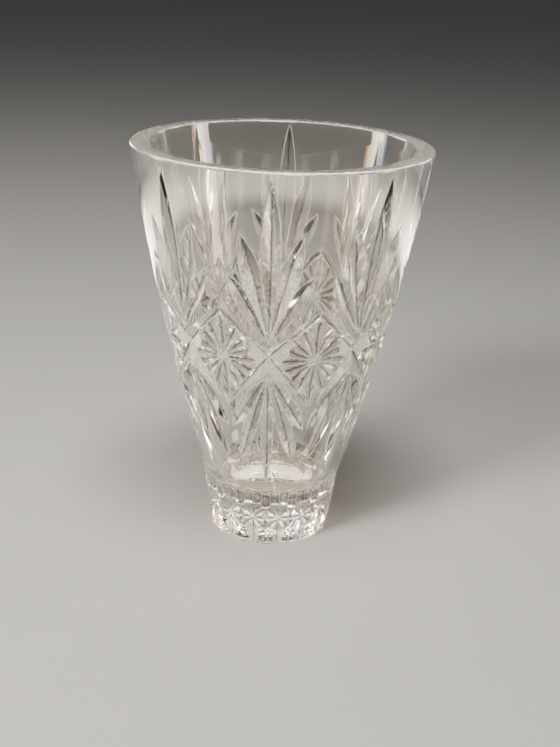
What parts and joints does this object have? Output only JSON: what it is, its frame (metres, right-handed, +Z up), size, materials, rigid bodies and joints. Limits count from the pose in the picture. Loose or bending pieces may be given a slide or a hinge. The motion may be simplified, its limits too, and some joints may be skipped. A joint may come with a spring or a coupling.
{
  "type": "cut crystal vase",
  "caption": "Tall flared vase of heavy clear crystal on a short panelled foot, cut all round with crossed bands, star flowers in diamonds and fans of pointed leaves.",
  "frame": {"origin": "centre of the underside, on the axis, at the height of the surface that the vase stands on", "axes": "+Z up the axis to the rim; a motif of the cutting, with its cross and its two fans, faces -Y, and the motifs repeat every 45 degrees"},
  "size_m": [0.18, 0.18, 0.25],
  "materials": {
    "crystal": "colourless lead crystal, polished, with a satin ground rim"
  },
  "bodies": {
    "root": {"crystal_body": "crystal"}
  },
  "joints": []
}
